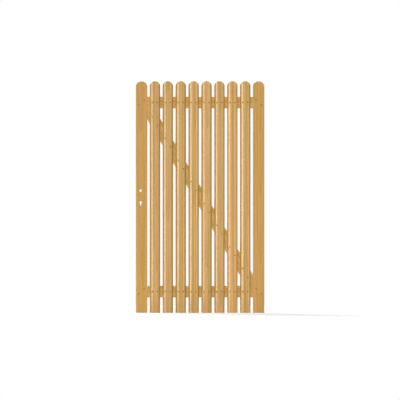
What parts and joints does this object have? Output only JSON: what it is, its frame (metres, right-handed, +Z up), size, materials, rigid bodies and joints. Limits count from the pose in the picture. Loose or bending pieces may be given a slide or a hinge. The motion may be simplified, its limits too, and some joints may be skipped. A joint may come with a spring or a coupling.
{
  "type": "wooden garden gate leaf",
  "caption": "Upright garden gate leaf in solid wood: half-lapped frame with a diagonal brace and round-topped vertical pickets, drilled for a latch lock on one side.",
  "frame": {"origin": "on the hinge stile's outer edge, at mid-thickness of the frame, level with the foot of the leaf", "axes": "+X out of the hinge stile's edge towards the hinge post, +Y out of the back of the frame, away from the pickets, +Z up"},
  "size_m": [1, 0.073, 1.8],
  "materials": {
    "frame_timber": "planed softwood, honey-coloured stain",
    "picket_timber": "planed softwood, honey-coloured stain",
    "screws": "bronze-brown coated steel"
  },
  "bodies": {
    "root": {"lock_stile": "frame_timber", "hinge_stile": "frame_timber", "bottom_rail": "frame_timber", "top_rail": "frame_timber", "brace": "frame_timber", "picket_1": "picket_timber", "picket_2": "picket_timber", "picket_3": "picket_timber", "picket_4": "picket_timber", "picket_5": "picket_timber", "picket_6": "picket_timber", "picket_7": "picket_timber", "picket_8": "picket_timber", "picket_1_screws": "screws", "picket_2_screws": "screws", "picket_3_screws": "screws", "picket_4_screws": "screws", "picket_5_screws": "screws", "picket_6_screws": "screws", "picket_7_screws": "screws", "picket_8_screws": "screws", "bottom_lock_corner_screws": "screws", "bottom_hinge_corner_screws": "screws", "top_lock_corner_screws": "screws", "top_hinge_corner_screws": "screws"}
  },
  "joints": []
}
